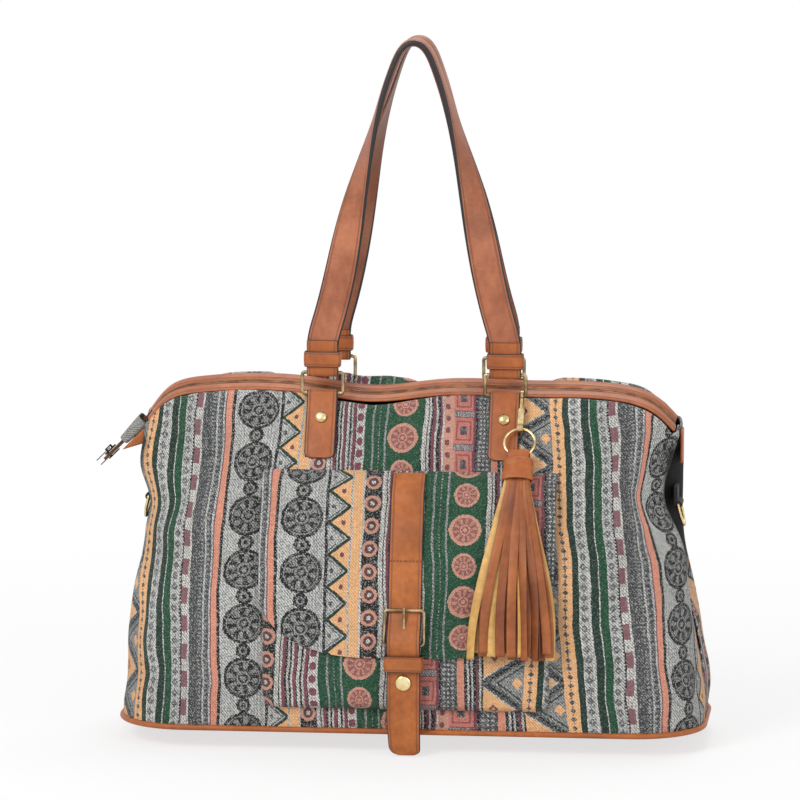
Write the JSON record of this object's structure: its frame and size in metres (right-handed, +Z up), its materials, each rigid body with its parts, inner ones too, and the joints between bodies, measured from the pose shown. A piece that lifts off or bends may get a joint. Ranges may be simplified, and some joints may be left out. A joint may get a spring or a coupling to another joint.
{
  "type": "travel bag",
  "caption": "Soft travel bag in a striped tapestry print with tan leather handles and trims, a buckled front pocket and a leather tassel.",
  "frame": {"origin": "centre of the flat part of the base, where the bag stands", "axes": "+Z up to the handles, +X along the bag to its right as seen from the front, +Y to the back"},
  "size_m": [0.5523, 0.2196, 0.6252],
  "materials": {
    "print_fabric": "woven, printed in stripes",
    "tan_leather": "soft grain, satin, dark painted edges",
    "lining_cloth": "plain weave",
    "stiff_board": "matt",
    "zip_tape_cloth": "woven tape",
    "webbing": "ribbed webbing",
    "pale_brass": "polished, pale"
  },
  "bodies": {
    "bag": {"front_panel": "print_fabric", "back_panel": "print_fabric", "lining": "lining_cloth", "base_panel": "tan_leather", "base_piping": "tan_leather", "base_board": "stiff_board", "front_binding": "tan_leather", "back_binding": "tan_leather", "zip_tape": "zip_tape_cloth", "zip_teeth": "pale_brass", "zip_tail_cover": "zip_tape_cloth", "zip_tail_patch": "tan_leather", "right_zip_end_patch": "tan_leather", "pocket_body": "print_fabric", "pocket_flap": "print_fabric", "flap_strap": "tan_leather", "buckle_strap": "tan_leather", "buckle_frame": "pale_brass", "strap_keeper": "tan_leather", "snap_stud": "pale_brass", "front_left_tab": "tan_leather", "front_left_rivet": "pale_brass", "front_right_tab": "tan_leather", "front_right_rivet": "pale_brass", "back_left_tab": "tan_leather", "back_left_rivet": "pale_brass", "back_right_tab": "tan_leather", "back_right_rivet": "pale_brass", "right_side_tab": "webbing", "left_side_tab": "webbing"},
    "front_rings": {"front_left_ring": "pale_brass", "front_right_ring": "pale_brass"},
    "front_handle": {"front_handle": "tan_leather", "front_left_handle_keeper": "tan_leather", "front_right_handle_keeper": "tan_leather"},
    "back_rings": {"back_left_ring": "pale_brass", "back_right_ring": "pale_brass"},
    "back_handle": {"back_handle": "tan_leather", "back_left_handle_keeper": "tan_leather", "back_right_handle_keeper": "tan_leather"},
    "tassel_hook": {"snap_hook": "pale_brass"},
    "hook_gate": {"hook_gate": "pale_brass"},
    "tassel_ring": {"tassel_ring": "pale_brass"},
    "tassel": {"tassel_loop": "tan_leather", "tassel_head": "tan_leather", "tassel_fringe": "tan_leather"},
    "right_d_ring": {"right_d_ring": "pale_brass"},
    "left_d_ring": {"left_d_ring": "pale_brass"},
    "zip_slider": {"zip_slider": "pale_brass"},
    "zip_pull": {"zip_pull": "pale_brass"},
    "prong": {"buckle_prong": "pale_brass"}
  },
  "joints": [
    {"name": "front_rings_swing", "type": "hinge", "parent": "bag", "child": "front_rings", "pos_m": [0, -0.0245, 0.3095], "axis": [1, 0, 0], "range_deg": [0, 50]},
    {"name": "front_handle_swing", "type": "hinge", "parent": "front_rings", "child": "front_handle", "pos_m": [0, -0.0245, 0.328], "axis": [1, 0, 0], "range_deg": [0, 35]},
    {"name": "back_rings_swing", "type": "hinge", "parent": "bag", "child": "back_rings", "pos_m": [0, 0.0245, 0.318], "axis": [-1, 0, 0], "range_deg": [0, 50]},
    {"name": "back_handle_swing", "type": "hinge", "parent": "back_rings", "child": "back_handle", "pos_m": [0, 0.0245, 0.3365], "axis": [-1, 0, 0], "range_deg": [0, 35]},
    {"name": "tassel_hook_swing", "type": "hinge", "parent": "bag", "child": "tassel_hook", "pos_m": [0.09663, -0.0245, 0.3095], "axis": [-1, 0, 0], "range_deg": [0, 25]},
    {"name": "hook_gate_press", "type": "hinge", "parent": "tassel_hook", "child": "hook_gate", "pos_m": [0.09663, -0.03547, 0.30068], "axis": [-1, 0, 0], "range_deg": [0, 14], "stiffness_Nm_per_rad": 0.004},
    {"name": "tassel_ring_swing", "type": "hinge", "parent": "tassel_hook", "child": "tassel_ring", "pos_m": [0.09663, -0.04472, 0.28267], "axis": [-1, 0, 0], "range_deg": [0, 8]},
    {"name": "tassel_swing", "type": "hinge", "parent": "tassel_ring", "child": "tassel", "pos_m": [0.09663, -0.06097, 0.2611], "axis": [-1, 0, 0], "range_deg": [0, 8]},
    {"name": "right_d_ring_lift", "type": "hinge", "parent": "bag", "child": "right_d_ring", "pos_m": [0.23482, 0, 0.212], "axis": [0, -1, 0], "range_deg": [0, 75]},
    {"name": "left_d_ring_lift", "type": "hinge", "parent": "bag", "child": "left_d_ring", "pos_m": [-0.23982, 0, 0.212], "axis": [0, 1, 0], "range_deg": [0, 75]},
    {"name": "zip_slider_run", "type": "slide", "parent": "bag", "child": "zip_slider", "axis": [0.7071, 0, 0.7071], "range_m": [0, 0.01]},
    {"name": "zip_pull_lift", "type": "hinge", "parent": "zip_slider", "child": "zip_pull", "pos_m": [-0.27776, 0, 0.25317], "axis": [0, 1, 0], "range_deg": [0, 80]},
    {"name": "prong_lift", "type": "hinge", "parent": "bag", "child": "prong", "pos_m": [0, -0.11133, 0.099], "axis": [1, 0, 0], "range_deg": [0, 4]}
  ]
}
